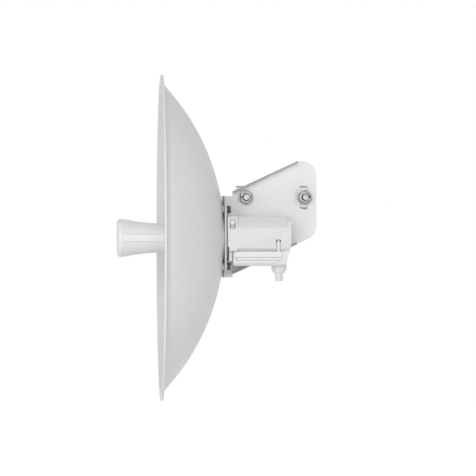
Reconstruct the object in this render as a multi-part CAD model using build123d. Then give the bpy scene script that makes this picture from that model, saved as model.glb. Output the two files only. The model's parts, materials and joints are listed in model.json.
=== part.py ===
from build123d import *
import os
from math import asin, cos, degrees, radians, sin, sqrt, tan

# Outdoor wireless bridge: an oval dish and a plug-in radio with its feed horn, on a bent
# steel bracket that tilts on a two-jaw pole clamp. Millimetres.
# Frame: the origin is on the pole's axis at the height of the two clamp bolts, +Z runs up
# the pole, the dish looks along -X, and the dish's axis passes beside the pole at -Y.
# The radio's pieces are drawn about the dish's axis (y = z = 0) and then placed on it.

# ---- Clearances ----
RUNNING = 0.06  # radial, a shaft that turns or slides in its hole
FACE = 0.05  # flat faces that slide on each other
LOOSE = 0.3  # curved or moulded faces of different bodies
STUB = 0.02  # radial, a screw in its own boss
BOLT_HOLE = 0.25  # radial, a fastener that passes through without turning
PAST = 1.0  # how far a cut runs past the face that it opens

# ---- Pole clamp ----
POLE_R = 19.0
JAW_SHEET = 2.5
JAW_HEIGHT = 26.2
JAW_POLE_GAP = 5.0  # pole to the web's inner face
JAW_SPLIT = 8.0  # between the two jaws' lips, closed on the pole
NEAR_JAW_END = 10.5  # past each bolt's centre
FAR_JAW_END = 7.5
JAW_LIP_LENGTH = 56.0  # full-depth stretch of the lips
JAW_END_DEPTH = 8.0
JAW_BEND_R = 3.0

BOLT_SPAN = 67.0  # pivot bolt to elevation bolt
BOLT_R = 4.0
BOLT_NECK = 8.0  # square neck under the bolt's head
BOLT_HEAD_R = 8.8
BOLT_HEAD_H = 4.6
BOLT_PROUD = 6.5  # bolt end beyond its nut
BOLT_HEAD_RIM = 1.0  # upright rim under the head's dome
BOLT_CHAMFER = 0.8
NUT_FLATS = 13.0
NUT_TURN = 30.0  # degrees, with a flat at +X
NUT_BEVEL = 30.0  # degrees, at the corners of every nut
NUT_H = 6.5
WASHER_R = 8.0
WASHER_T = 1.6
SPRING_WASHER_R = 6.5
SPRING_WASHER_T = 2.0
SPRING_WASHER_GAP = 1.2

# ---- Bracket ----
SHEET = 2.0
BEND_R = 2.6
BASE_FRONT_X = -60.8  # face that the dish's seat lies on
BASE_NEAR = 30.0  # dish axis to the base's near edge
BASE_CORNER_R = 28.0
BASE_TOP = 1.3  # above the bolts
BASE_HEIGHT = 92.0
WING_RISE = 25.0  # degrees
WING_TOP_START = 6.9  # height of the top flange where it starts
WING_BAND = 94.2  # top flange to bottom flange, upright
FLANGE_START_X = -48.6
FLANGE_END = 8.9  # ahead of the elevation bolt
FLANGE_DEPTH = 10.5
WING_END = 13.4  # past the elevation bolt
WING_TOP_CORNER_R = 17.5
WING_BOTTOM_CORNER_R = 15.5
SLOT_WIDTH = 8.8
SLOT_HEIGHT = 26.6
SLOT_CORNER_R = 1.2
TICK_STEP = 2.5  # degrees of elevation
TICK_COUNT = 7
TICK_WIDTH = 0.6
TICK_DEPTH = 0.35
TICK_LONG = 4.2
TICK_SHORT = 2.8
TICK_FROM_SLOT = 2.6
KEEPER_WIDTH = 16.0
KEEPER_LENGTH = 10.0
KEEPER_SLOT = 5.0  # from the tongue's end to the slot's far end
KEEPER_CLEAR = 0.6  # over the radio's front

# ---- Dish ----
AXIS_Z = -46.2  # dish axis below the bolts
RIM_HALF_HEIGHT = 183.0
RIM_HALF_WIDTH = 140.0
RIM_LIP = 9.4
RIM_T = 2.6
RIM_EDGE_R = 1.1
DISH_DEPTH = 70.6  # rim plane to the inside of the vertex
DISH_SHEET = 1.2
DISH_HOLE_R = 23.3
SEAT_R = 29.5
SEAT_DEPTH = 6.0
SEAT_SINK = 1.1  # the flat seat's back, pressed in from the bowl's curve
DISH_SCREW_Y = 16.0
DISH_NUT_CLEAR = 3.0  # from a nut's flat to the radio's front, upright
SCREW_PAD_R = 6.2  # flat seat under a screw's head
SCREW_PAD_T = 4.3  # the seat ahead of the base
SCREW_BOSS_R = 4.2  # narrower boss behind the seat
SCREW_BOSS_T = 2.3
SCREW_R = 2.5
SCREW_HEAD_R = 5.4
SCREW_HEAD_H = 2.8
SCREW_HEAD_RIM = 0.6
SMALL_NUT_FLATS = 8.0
SMALL_NUT_H = 4.0
SMALL_WASHER_R = 5.0
SMALL_WASHER_T = 1.0
SCREW_PROUD = 0.9

# ---- Feed horn ----
FEED_TIP_X = -180.4
FEED_R = 16.0
FEED_TIP_R = 21.4
FLARE_START_X = -122.0
CAP_LENGTH = 6.4
CAP_EDGE_R = 4.5
FEED_WALL = 2.0
FEED_BORE_R = 14.0
SPIGOT_R = 18.3
SPIGOT_LENGTH = 4.6
FEED_RIB_WIDTH = 7.9
FEED_RIB_PROUD = 1.0
BORE_TAPER = 18.4  # length over which the bore narrows behind the cap
COLLAR_LENGTH = 10.0
COLLAR_CONE = 8.0
SEAL_T = 1.3
COLLAR_SEAL_WIDTH = 2.0
CAP_SEAL_FROM_SEAM = 1.4
CAP_SEAL_WIDTH = 1.5
CAP_SEAL_DEPTH = 1.0
SPIGOT_END_CLEAR = 0.4
DISC_T = 0.8  # sub-reflector
DISC_CONE_R = 7.2
DISC_CONE_H = 3.7
BLADE_T = 0.5  # feed radiator
BLADE_WIDTH = 18.0
BLADE_LENGTH = 10.0
BLADE_H = 5.0
BLADE_FROM_END = 6.0

# ---- Radio housing ----
HALF_W = 25.0
HOUSING_GAP = 1.0  # housing to the bracket's flanges
WALL = 2.2
FLANGE_FRONT_X = BASE_FRONT_X + SHEET + SEAL_T + FACE
FRONT_STEP = 1.8
FRONT_STEP_TOP = -10.0
SHELL_FRONT_X = -46.5
SHELL_REAR_X = 9.7
REAR_SEAL_T = 0.5
REAR_CAP_T = 3.9
REAR_CAP_STEP = 6.0  # how much higher its sides stay upright
REAR_CAP_LEAN = 2.4
REAR_CAP_LEAN_TOP = -5.6
REAR_SEAL_INSET = 0.15
REAR_SEAL_WIDTH = 1.6
SIDE_TOP = 11.5  # where the upper slope starts
SIDE_BOTTOM = -11.1
FLOOR_Z = -14.5
TOP_Z = 24.2
TOP_HALF_W = 15.5
FLOOR_HALF_W = 21.5
FRONT_TOP_Z = 24.8
FRONT_CORNER_R = 5.0
FRONT_BACK_T = 1.6  # closes the corners that stand out beside the shell
FRONT_FOOT_Z = -26.0
FRONT_FOOT_HALF_W = 18.0
FRONT_FOOT_CLEAR = 0.6
FLOOR_EDGE_R = 1.0
BOARD_T = 1.6
BOARD_TAIL_HALF_W = 13.7
BOARD_HALF_W = 21.0
BOARD_FRONT_X = -168.0
BOARD_REAR_X = 8.4
BOARD_SHOULDER = 1.5  # where it widens, behind the shell's front
RAIL_WIDTH = 2.0
RAIL_T = 2.2
BOSS_R = 2.8
BOSS_INSET = 2.6  # boss centre from the wall's inner face
BOSS_Z = 4.5
BOSS_LENGTH = 8.0
CASE_SCREW_R = 1.25
CASE_SCREW_DEPTH = 6.5
CASE_HEAD_R = 2.6
CASE_HEAD_SUNK = 2.2
CASE_HEAD_BELOW = 0.4  # below the rear cap's face
LIGHT_R = 1.1
LIGHT_Z = 1.3
LIGHT_STEP = 8.0
LIGHT_OVERLAP = 2.5  # length over the board
LIGHT_PROUD = 0.2
SHIELD_FRONT_X = -42.0
SHIELD_SIDE = 28.0
SHIELD_H = 4.5
SHIELD_T = 0.5
SINK_INSET = 1.0
SINK_BASE_T = 2.0
SINK_H = 10.5
FIN_T = 1.2
FIN_COUNT = 6

# ---- Port cover, jack and controls ----
COVER_FRONT_X = -51.0
COVER_REAR_X = 12.0
COVER_BOTTOM = -31.2
COVER_WALL = 2.0
COVER_CORNER_R = 5.0
COVER_REAR_LEAN = 3.2
COVER_CHAMFER = 2.4
FINGER_X = -0.6
FINGER_WIDTH = 2.4
FINGER_TOP = -2.4
FINGER_FOOT = -16.0
FINGER_T = 1.5
FINGER_CLEAR = 1.4
FINGER_GROOVE = 1.75
POCKET_DEPTH = 3.4
POCKET_HEIGHT = 2.2
POCKET_OVER = 0.5  # over the finger's end
POCKET_BACK = 1.6  # wall behind the pocket
PORT_SEAL_T = 1.4
PORT_SEAL_WIDTH = 1.8
RIDGE_ENDS = [(-50.1, 3.6), (-47.5, 2.4), (-45.9, -1.8)]  # x, from the top ridge down
RIDGE_TOP = -15.3
FIRST_RIDGE_H = 6.0
RIDGE_H = 2.6
RIDGE_GAP = 0.75
RIDGE_STEP_IN = 0.8
RIDGE_GROOVE = 0.5  # deeper than the ridge below
RIDGE_EDGE_R = 0.6
SPOUT_X = 1.7
SPOUT_TOP_R = 8.6
SPOUT_TIP_R = 5.6
SPOUT_TIP_Z = -39.5
SPOUT_NECK = 1.0  # straight stretch under the cover
GROMMET_R = 4.2
GROMMET_TIP_Z = -48.4
GROMMET_FLANGE_R = 5.4
GROMMET_FLANGE_T = 2.4
GROMMET_SEAT_BELOW = 0.6  # under the cover's bottom
GROMMET_EDGE_R = 0.9
CABLE_HOLE_R = 2.9
JACK_X = 13.6
JACK_Y = 16.0
JACK_Z = 18.0
SOCKET_X = 8.2
SOCKET_Y = 11.9
SOCKET_DEPTH = 13.0
JACK_FRONT_WALL = 2.7
CATCH_WIDTH = 6.4
CATCH_DEPTH = 1.6
LATCH_WIDTH = 4.6
LATCH_TOP = 20.2
LATCH_HEIGHT = 8.6
LATCH_T = 1.6
LATCH_X = -51.8
LATCH_SLOT = 0.8
LATCH_GROOVE = 0.5
LATCH_GROOVE_DEPTH = 0.3
LATCH_GROOVE_STEP = 1.3
LATCH_GROOVES = 3
BUTTON_X = -14.0
BUTTON_R = 1.5
BUTTON_TRAVEL = 0.5
BUTTON_INSET = 0.6  # its end above the housing's floor
SWITCH_SIDE = 6.0
SWITCH_H = 3.5
SWITCH_WELL = 0.5  # the button's end inside the switch

# ---- Places worked out from the sizes above ----
NEAR_JAW_LENGTH = BOLT_SPAN + 2 * NEAR_JAW_END
FAR_JAW_LENGTH = BOLT_SPAN + 2 * FAR_JAW_END
WEB_IN = POLE_R + JAW_POLE_GAP
WEB_OUT = WEB_IN + JAW_SHEET
WING_FAR_Y = -(WEB_OUT + FACE)
WING_NEAR_Y = WING_FAR_Y - SHEET
WING_CUT = (WING_NEAR_Y - PAST, WING_FAR_Y + PAST)
AXIS_Y = WING_NEAR_Y - FLANGE_DEPTH - HOUSING_GAP - HALF_W
PIVOT_X = -BOLT_SPAN / 2
WING_REAR_X = BOLT_SPAN / 2 + WING_END
FLANGE_END_X = BOLT_SPAN / 2 - FLANGE_END
BASE_REAR_X = BASE_FRONT_X + SHEET
BASE_BOTTOM = BASE_TOP - BASE_HEIGHT
DISH_SCREW_Z = FRONT_TOP_Z + DISH_NUT_CLEAR + SMALL_NUT_FLATS / 2
RIM_X = BASE_FRONT_X + SEAT_SINK - DISH_SHEET - DISH_DEPTH
WASHER_Y = WING_NEAR_Y - FACE
SPRING_Y = WASHER_Y - WASHER_T
NUT_Y = SPRING_Y - SPRING_WASHER_T
BOLT_END_Y = NUT_Y - NUT_H - BOLT_PROUD
SHELL_CAP_X = SHELL_REAR_X + REAR_SEAL_T
CAP_REAR_X = SHELL_CAP_X + REAR_CAP_T
BOARD_BOTTOM = -BOARD_T
JACK_BOTTOM = BOARD_BOTTOM - JACK_Z
CAP_SEAM_X = FEED_TIP_X + CAP_LENGTH
COLLAR_R = DISH_HOLE_R - LOOSE
COLLAR_X = FLANGE_FRONT_X - COLLAR_LENGTH
JACK_FRONT_X = SPOUT_X - SOCKET_X / 2 - JACK_FRONT_WALL
JACK_REAR_X = JACK_FRONT_X + JACK_X
COVER_TOP = FLOOR_Z - 2 * FACE
COVER_FLOOR = COVER_BOTTOM + COVER_WALL
GROMMET_SEAT = COVER_BOTTOM - GROMMET_SEAT_BELOW
BUTTON_TOP = BOARD_BOTTOM - SWITCH_H + SWITCH_WELL


def block(x, y, z):
    """A box from three (low, high) pairs."""
    centre = [(low + high) / 2 for low, high in (x, y, z)]
    return Pos(*centre) * Box(x[1] - x[0], y[1] - y[0], z[1] - z[0])


def rod_x(r, x, y=0.0, z=0.0):
    return Pos((x[0] + x[1]) / 2, y, z) * Rot(0, 90, 0) * Cylinder(r, abs(x[1] - x[0]))


def rod_y(r, y, x=0.0, z=0.0):
    return Pos(x, (y[0] + y[1]) / 2, z) * Rot(90, 0, 0) * Cylinder(r, abs(y[1] - y[0]))


def rod_z(r, z, x=0.0, y=0.0):
    return Pos(x, y, (z[0] + z[1]) / 2) * Cylinder(r, abs(z[1] - z[0]))


def turned_x(profile):
    """A solid of revolution about the X axis from (x, radius) points."""
    outline = make_face(Polyline(*[(x, 0, r) for x, r in profile], close=True))
    return revolve(outline, Axis.X)


def along_x(section, x):
    """A (y, z) sketch drawn out along X."""
    return extrude(Plane.YZ.offset(x[0]) * section, x[1] - x[0], dir=(1, 0, 0))


def along_y(outline, y):
    """An (x, z) sketch drawn out along Y."""
    return extrude(Plane.XZ.offset(-y[0]) * outline, y[1] - y[0], dir=(0, 1, 0))


def along_z(outline, z):
    """An (x, y) sketch drawn out along Z."""
    return extrude(Plane.XY.offset(z[0]) * outline, z[1] - z[0], dir=(0, 0, 1))


def polygon(*points):
    return Polygon(*points, align=None)


def mirrored(*points):
    """A (y, z) sketch that is the same on both sides of y = 0."""
    return polygon(*points, *[(-y, z) for y, z in reversed(points)])


def corners_at(sketch, *points):
    """The sketch's vertices that lie at the given (x, y) points."""
    found = []
    for x, y in points:
        found += [v for v in sketch.vertices() if abs(v.X - x) + abs(v.Y - y) < SHEET / 4]
    return found


def both_sides(near_y, far_y):
    """The low and high y of a stretch at one side of the radio and at the other."""
    return [(-far_y, -near_y), (near_y, far_y)]


def on_dish_axis(shape):
    return Pos(0, AXIS_Y, AXIS_Z) * shape


def hexagon_y(flats, y, hole_r, turn):
    """A nut with its axis along Y, turned by so many degrees from a corner at +X."""
    nut = along_y(Rot(0, 0, turn) * RegularPolygon(flats / sqrt(3), 6), y)
    return (nut & bevelled_blank_y(flats / sqrt(3), flats / 2, y)) - rod_y(hole_r, y)


def bevelled_blank_y(outer_r, flat_r, y):
    """A turned blank that bevels a nut's corners at both ends."""
    rise = (outer_r - flat_r) * tan(radians(NUT_BEVEL))
    low, high = y
    blank = Polyline(
        (0, low, 0), (flat_r, low, 0), (outer_r, low + rise, 0),
        (outer_r, high - rise, 0), (flat_r, high, 0), (0, high, 0), close=True,
    )
    return revolve(make_face(blank), Axis.Y)


def dish_screw_places():
    return [(y, z) for y in (-DISH_SCREW_Y, DISH_SCREW_Y) for z in (-DISH_SCREW_Z, DISH_SCREW_Z)]


def as_group(solids):
    return Compound(children=solids)


# ---- Pole clamp ----


def jaw(length):
    """The near jaw's channel: its web is towards -Y and its lips grip the pole."""
    half_h = JAW_HEIGHT / 2
    lip_y = -JAW_SPLIT / 2
    body = block((-length / 2, length / 2), (-WEB_OUT, lip_y), (-half_h, half_h))
    long_edges = body.edges().filter_by(Axis.X).group_by(Axis.Y)[0]
    body = fillet(long_edges, JAW_BEND_R)
    hollow = (-half_h + JAW_SHEET, half_h - JAW_SHEET)
    body -= block((-length, length), (-WEB_IN, 0), hollow)
    end_y = -WEB_IN + JAW_END_DEPTH
    outline = polygon(
        (-length / 2, -WEB_OUT), (length / 2, -WEB_OUT), (length / 2, end_y),
        (JAW_LIP_LENGTH / 2, lip_y), (-JAW_LIP_LENGTH / 2, lip_y), (-length / 2, end_y),
    )
    body &= along_z(outline, (-half_h, half_h))
    return body - rod_z(POLE_R, (-JAW_HEIGHT, JAW_HEIGHT))


def near_jaw():
    web = (-WEB_OUT - PAST, -WEB_IN + PAST)
    holes = [rod_y(BOLT_R + RUNNING, web, x) for x in (PIVOT_X, -PIVOT_X)]
    return jaw(NEAR_JAW_LENGTH) - holes[0] - holes[1]


def far_jaw():
    body = mirror(jaw(FAR_JAW_LENGTH), Plane.XZ)
    half = BOLT_NECK / 2 + BOLT_HOLE
    for x in (PIVOT_X, -PIVOT_X):
        body -= block((x - half, x + half), (WEB_IN - PAST, WEB_OUT + PAST), (-half, half))
    return body


def clamp_bolt(x):
    """A carriage bolt: domed head on the far jaw, square neck, end towards -Y."""
    head = rod_y(BOLT_HEAD_R, (WEB_OUT, WEB_OUT + BOLT_HEAD_H))
    head = fillet(head.edges().group_by(Axis.Y)[-1], BOLT_HEAD_H - BOLT_HEAD_RIM)
    half = BOLT_NECK / 2
    neck = block((-half, half), (WEB_IN + LOOSE, WEB_OUT), (-half, half))
    shank = rod_y(BOLT_R, (BOLT_END_Y, WEB_OUT))
    shank = chamfer(shank.edges().group_by(Axis.Y)[0], BOLT_CHAMFER)
    return Pos(x, 0, 0) * (head + neck + shank)


def clamp_nut(x):
    return Pos(x, 0, 0) * hexagon_y(NUT_FLATS, (NUT_Y - NUT_H, NUT_Y), BOLT_R + RUNNING, NUT_TURN)


def clamp_washer(x):
    y = (WASHER_Y - WASHER_T, WASHER_Y)
    return rod_y(WASHER_R, y, x) - rod_y(BOLT_R + BOLT_HOLE, y, x)


def spring_washer(x):
    y = (SPRING_Y - SPRING_WASHER_T, SPRING_Y)
    ring = rod_y(SPRING_WASHER_R, y, x) - rod_y(BOLT_R + BOLT_HOLE, y, x)
    gap = (x - SPRING_WASHER_GAP / 2, x + SPRING_WASHER_GAP / 2)
    return ring - block(gap, y, (BOLT_R, SPRING_WASHER_R + PAST))


# ---- Bracket ----


def band_z(x, below=0.0):
    """Height of the wing's slanted top line, or of a line so far below it."""
    return WING_TOP_START + (x - FLANGE_START_X) * tan(radians(WING_RISE)) - below


def bend_quarter(centre, r):
    """A quarter ring of sheet, towards lower x and higher y of its centre."""
    cx, cy = centre
    ring = Pos(cx, cy) * (Circle(r) - Circle(r - SHEET))
    return ring & polygon((cx - r, cy), (cx, cy), (cx, cy + r), (cx - r, cy + r))


def bent_flange(start, end):
    """A flange bent towards -Y along a line in the wing, with the wing at its right hand."""
    run = Vector(end[0] - start[0], 0, end[1] - start[1])
    inward = run.normalized().cross(Vector(0, -1, 0))
    plane = Plane(origin=(start[0], 0, start[1]), x_dir=inward, z_dir=run.normalized())
    bend_y = WING_FAR_Y - BEND_R
    edge_y = WING_NEAR_Y - FLANGE_DEPTH
    leg = polygon((0, edge_y), (SHEET, edge_y), (SHEET, bend_y), (0, bend_y))
    section = plane * (leg + bend_quarter((BEND_R, bend_y), BEND_R))
    return extrude(section, run.length, dir=run.normalized())


def wing_outline():
    left = BASE_FRONT_X + BEND_R
    top_rear = (WING_REAR_X, band_z(WING_REAR_X))
    bottom_rear = (WING_REAR_X, band_z(WING_REAR_X, WING_BAND))
    outline = polygon(
        (left, BASE_TOP), (FLANGE_START_X, BASE_TOP), (FLANGE_START_X, WING_TOP_START),
        top_rear, bottom_rear, (FLANGE_START_X, WING_TOP_START - WING_BAND),
        (FLANGE_START_X, BASE_BOTTOM), (left, BASE_BOTTOM),
    )
    outline = fillet(corners_at(outline, top_rear), WING_TOP_CORNER_R)
    return fillet(corners_at(outline, bottom_rear), WING_BOTTOM_CORNER_R)


def flange_ends(below):
    return [(x, band_z(x, below)) for x in (FLANGE_START_X, FLANGE_END_X)]


def bend_strip(below, inward):
    """The part of the wing's outline that a flange's bend takes the place of."""
    (x0, z0), (x1, z1) = flange_ends(below)
    slope = radians(WING_RISE)
    step = (inward * sin(slope) * BEND_R, -inward * cos(slope) * BEND_R)
    outside = (-step[0], -step[1])
    return polygon(
        (x0 + outside[0], z0 + outside[1]), (x1 + outside[0], z1 + outside[1]),
        (x1 + step[0], z1 + step[1]), (x0 + step[0], z0 + step[1]),
    )


def elevation_slot():
    """A slot round the pivot bolt, with square ends."""
    half_angle = degrees(SLOT_HEIGHT / 2 / BOLT_SPAN)
    outer = BOLT_SPAN + SLOT_WIDTH / 2
    ring = Circle(outer) - Circle(BOLT_SPAN - SLOT_WIDTH / 2)
    reach = outer / cos(radians(half_angle)) + PAST
    corner = (reach, reach * tan(radians(half_angle)))
    slot = ring & polygon((0, 0), (corner[0], -corner[1]), corner)
    slot = fillet(slot.vertices(), SLOT_CORNER_R)
    return along_y(Pos(PIVOT_X, 0) * slot, WING_CUT)


def elevation_ticks():
    """Scale marks pressed into the wing's near face beside the slot."""
    cuts = []
    outer = BOLT_SPAN - SLOT_WIDTH / 2 - TICK_FROM_SLOT
    for i in range(TICK_COUNT):
        length = TICK_LONG if i % 2 else TICK_SHORT
        mark = block((outer - length, outer), (WING_NEAR_Y - PAST, WING_NEAR_Y + TICK_DEPTH),
                     (-TICK_WIDTH / 2, TICK_WIDTH / 2))
        angle = (i - (TICK_COUNT - 1) / 2) * TICK_STEP
        cuts.append(Pos(PIVOT_X, 0, 0) * Rot(0, angle, 0) * mark)
    return cuts


def bracket_base():
    far = WING_FAR_Y - BEND_R
    near_y = AXIS_Y - BASE_NEAR
    outline = polygon((near_y, BASE_BOTTOM), (far, BASE_BOTTOM), (far, BASE_TOP), (near_y, BASE_TOP))
    outline = fillet(corners_at(outline, (near_y, BASE_BOTTOM), (near_y, BASE_TOP)), BASE_CORNER_R)
    return along_x(outline, (BASE_FRONT_X, BASE_REAR_X))


def keeper():
    """The tongue over the radio's front, bent back from the base, with a slot in it."""
    low = AXIS_Z + FRONT_TOP_Z + KEEPER_CLEAR
    x = (BASE_REAR_X, BASE_REAR_X + KEEPER_LENGTH)
    half = KEEPER_WIDTH / 2
    tongue = block(x, (AXIS_Y - half, AXIS_Y + half), (low, low + SHEET))
    slot_y = (AXIS_Y - half / 2, AXIS_Y + half / 2)
    return tongue - block((x[1] - KEEPER_SLOT, x[1] - SHEET), slot_y, (low - PAST, low + SHEET + PAST))


def mounting_bracket():
    base_bend = bend_quarter((BASE_FRONT_X + BEND_R, WING_FAR_Y - BEND_R), BEND_R)
    flat = wing_outline() - bend_strip(0, 1) - bend_strip(WING_BAND, -1)
    low_start, low_end = flange_ends(WING_BAND)
    body = along_y(flat, (WING_NEAR_Y, WING_FAR_Y)) + bracket_base() + keeper()
    body += along_z(base_bend, (BASE_BOTTOM, BASE_TOP))
    body += bent_flange(*flange_ends(0)) + bent_flange(low_end, low_start)
    body -= rod_y(BOLT_R + RUNNING, WING_CUT, PIVOT_X)
    body -= elevation_slot()
    for cut in elevation_ticks():
        body -= cut
    base_cut = (BASE_FRONT_X - PAST, BASE_REAR_X + PAST)
    body -= on_dish_axis(rod_x(DISH_HOLE_R, base_cut))
    for y, z in dish_screw_places():
        body -= on_dish_axis(rod_x(SCREW_R + BOLT_HOLE, base_cut, y, z))
    return body


# ---- Dish ----


def bowl(radius_gain, mouth_x):
    """The solid inside the dish's inner or outer face, cut off at mouth_x."""
    mouth = RIM_HALF_HEIGHT - RIM_LIP
    radius = (mouth**2 + DISH_DEPTH**2) / (2 * DISH_DEPTH)
    centre_x = RIM_X + DISH_DEPTH - radius
    r = radius + radius_gain
    edge = sqrt(r**2 - (mouth_x - centre_x) ** 2)
    half_turn = asin(edge / r) / 2
    middle = (centre_x + r * cos(half_turn), 0, r * sin(half_turn))
    face = make_face([
        Line((mouth_x, 0, 0), (mouth_x, 0, edge)),
        ThreePointArc((mouth_x, 0, edge), middle, (centre_x + r, 0, 0)),
        Line((centre_x + r, 0, 0), (mouth_x, 0, 0)),
    ])
    side_share = (RIM_HALF_WIDTH - RIM_LIP) / mouth
    return scale(revolve(face, Axis.X), by=(1, side_share, 1))


def dish_reflector():
    rim = along_x(Ellipse(RIM_HALF_WIDTH, RIM_HALF_HEIGHT), (RIM_X, RIM_X + RIM_T))
    rim = fillet(rim.edges(), RIM_EDGE_R)
    body = bowl(DISH_SHEET, RIM_X + RIM_T / 2) + rim
    body += rod_x(SEAT_R, (BASE_FRONT_X - SEAT_DEPTH, BASE_FRONT_X))
    body -= bowl(0, RIM_X - PAST)
    for y, z in dish_screw_places():
        body += rod_x(SCREW_PAD_R, (BASE_FRONT_X - SCREW_PAD_T, BASE_FRONT_X - SCREW_BOSS_T), y, z)
        body += rod_x(SCREW_BOSS_R, (BASE_FRONT_X - SCREW_BOSS_T, BASE_FRONT_X), y, z)
    cut = (BASE_FRONT_X - 2 * SEAT_DEPTH, BASE_FRONT_X + SEAT_SINK + PAST)
    body -= rod_x(SEAT_R, (BASE_FRONT_X, cut[1]))
    body -= rod_x(DISH_HOLE_R, cut)
    for y, z in dish_screw_places():
        body -= rod_x(SCREW_R + BOLT_HOLE, cut, y, z)
    return on_dish_axis(body)


def dish_screw(y, z):
    seat = BASE_FRONT_X - SCREW_PAD_T
    head = rod_x(SCREW_HEAD_R, (seat - SCREW_HEAD_H, seat))
    head = fillet(head.edges().group_by(Axis.X)[0], SCREW_HEAD_H - SCREW_HEAD_RIM)
    end = BASE_REAR_X + SMALL_WASHER_T + SMALL_NUT_H + SCREW_PROUD
    return on_dish_axis(Pos(0, y, z) * (head + rod_x(SCREW_R, (seat, end))))


def dish_washer(y, z):
    x = (BASE_REAR_X, BASE_REAR_X + SMALL_WASHER_T)
    return on_dish_axis(Pos(0, y, z) * (rod_x(SMALL_WASHER_R, x) - rod_x(SCREW_R + BOLT_HOLE, x)))


def dish_nut(y, z):
    start = BASE_REAR_X + SMALL_WASHER_T
    nut = hexagon_y(SMALL_NUT_FLATS, (start, start + SMALL_NUT_H), SCREW_R + STUB, 0)
    return on_dish_axis(Pos(0, y, z) * Rot(0, 0, -90) * nut)


# ---- Feed horn ----


def flare_r(x):
    """Radius of the horn ahead of the flare's start: a tangent arc up to the tip."""
    rise = FEED_TIP_R - FEED_R
    run = FLARE_START_X - CAP_SEAM_X
    radius = (run**2 + rise**2) / (2 * rise)
    return FEED_R + radius - sqrt(radius**2 - (FLARE_START_X - x) ** 2)


def horn(gain, rear_x):
    """The horn's outer form, so much larger all round, from its seam back to rear_x."""
    middle = (CAP_SEAM_X + FLARE_START_X) / 2
    tip_r = flare_r(CAP_SEAM_X) + gain
    face = make_face([
        Line((rear_x, 0, 0), (CAP_SEAM_X, 0, 0)),
        Line((CAP_SEAM_X, 0, 0), (CAP_SEAM_X, 0, tip_r)),
        ThreePointArc((CAP_SEAM_X, 0, tip_r), (middle, 0, flare_r(middle) + gain),
                      (FLARE_START_X, 0, FEED_R + gain)),
        Line((FLARE_START_X, 0, FEED_R + gain), (rear_x, 0, FEED_R + gain)),
        Line((rear_x, 0, FEED_R + gain), (rear_x, 0, 0)),
    ])
    return revolve(face, Axis.X)


def feed_rib():
    """The flat raised rib along the horn's near side."""
    rib = horn(FEED_RIB_PROUD, COLLAR_X) - horn(-FEED_WALL / 2, FLANGE_FRONT_X)
    half = FEED_RIB_WIDTH / 2
    return rib & block((CAP_SEAM_X, COLLAR_X), (-2 * FEED_R, 0), (-half, half))


def feed_bore():
    """The horn's inside, wide for the cap's spigot and narrower behind it."""
    rear = FLANGE_FRONT_X + FRONT_STEP + WALL + PAST
    spigot_r = SPIGOT_R + STUB
    return turned_x([
        (CAP_SEAM_X - PAST, 0), (CAP_SEAM_X - PAST, spigot_r), (CAP_SEAM_X + SPIGOT_LENGTH, spigot_r),
        (CAP_SEAM_X + BORE_TAPER, FEED_BORE_R), (rear, FEED_BORE_R), (rear, 0),
    ])


def front_section():
    top = [(HALF_W, FRONT_TOP_Z), (-HALF_W, FRONT_TOP_Z)]
    outline = polygon((-HALF_W, FLOOR_Z), (HALF_W, FLOOR_Z), *top)
    return fillet(corners_at(outline, *top), FRONT_CORNER_R)


def front_flange():
    """The radio's front wall, hollow behind, with a lower step and a foot before the port cover."""
    step_x = FLANGE_FRONT_X + FRONT_STEP
    section = front_section()
    body = along_x(section, (FLANGE_FRONT_X, SHELL_FRONT_X))
    full_width = (-HALF_W - PAST, HALF_W + PAST)
    body -= block((FLANGE_FRONT_X - PAST, step_x), full_width, (FLOOR_Z - PAST, FRONT_STEP_TOP))
    foot_x = (step_x, COVER_FRONT_X - FRONT_FOOT_CLEAR)
    body += block(foot_x, (-FRONT_FOOT_HALF_W, FRONT_FOOT_HALF_W), (FRONT_FOOT_Z, FLOOR_Z))
    body -= along_x(offset(section, -WALL), (step_x + WALL, SHELL_FRONT_X - FRONT_BACK_T))
    return body - along_x(offset(shell_section(), -WALL), (step_x + WALL, SHELL_FRONT_X + PAST))


def feed_radome():
    """The horn's tube, its collar and the flange that closes the housing's front."""
    collar_end = FLANGE_FRONT_X + PAST
    collar = turned_x([
        (COLLAR_X - COLLAR_CONE, 0), (COLLAR_X - COLLAR_CONE, FEED_R), (COLLAR_X, COLLAR_R),
        (collar_end, COLLAR_R), (collar_end, 0),
    ])
    body = horn(0, collar_end) + feed_rib() + collar + front_flange()
    return body - feed_bore() - latch_window()


def latch_window():
    half = LATCH_WIDTH / 2 + LATCH_SLOT
    z = (LATCH_TOP - LATCH_HEIGHT - LATCH_SLOT, LATCH_TOP + LATCH_SLOT / 2)
    return block((LATCH_X - half, LATCH_X + half), (-HALF_W - PAST, -HALF_W + WALL + PAST), z)


def cap_seal_x():
    start = CAP_SEAM_X + CAP_SEAL_FROM_SEAM
    return (start, start + CAP_SEAL_WIDTH)


def feed_end_cap():
    cap = rod_x(flare_r(CAP_SEAM_X), (FEED_TIP_X, CAP_SEAM_X))
    cap = fillet(cap.edges().group_by(Axis.X)[0], CAP_EDGE_R)
    spigot_end = CAP_SEAM_X + SPIGOT_LENGTH - SPIGOT_END_CLEAR
    cap += rod_x(SPIGOT_R, (CAP_SEAM_X - PAST, spigot_end))
    cap -= rod_x(SPIGOT_R + PAST, cap_seal_x()) - rod_x(SPIGOT_R - CAP_SEAL_DEPTH, cap_seal_x())
    return cap - rod_x(SPIGOT_R - FEED_WALL, (FEED_TIP_X + FEED_WALL, spigot_end + PAST))


def cap_seal():
    return rod_x(SPIGOT_R, cap_seal_x()) - rod_x(SPIGOT_R - CAP_SEAL_DEPTH, cap_seal_x())


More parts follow.
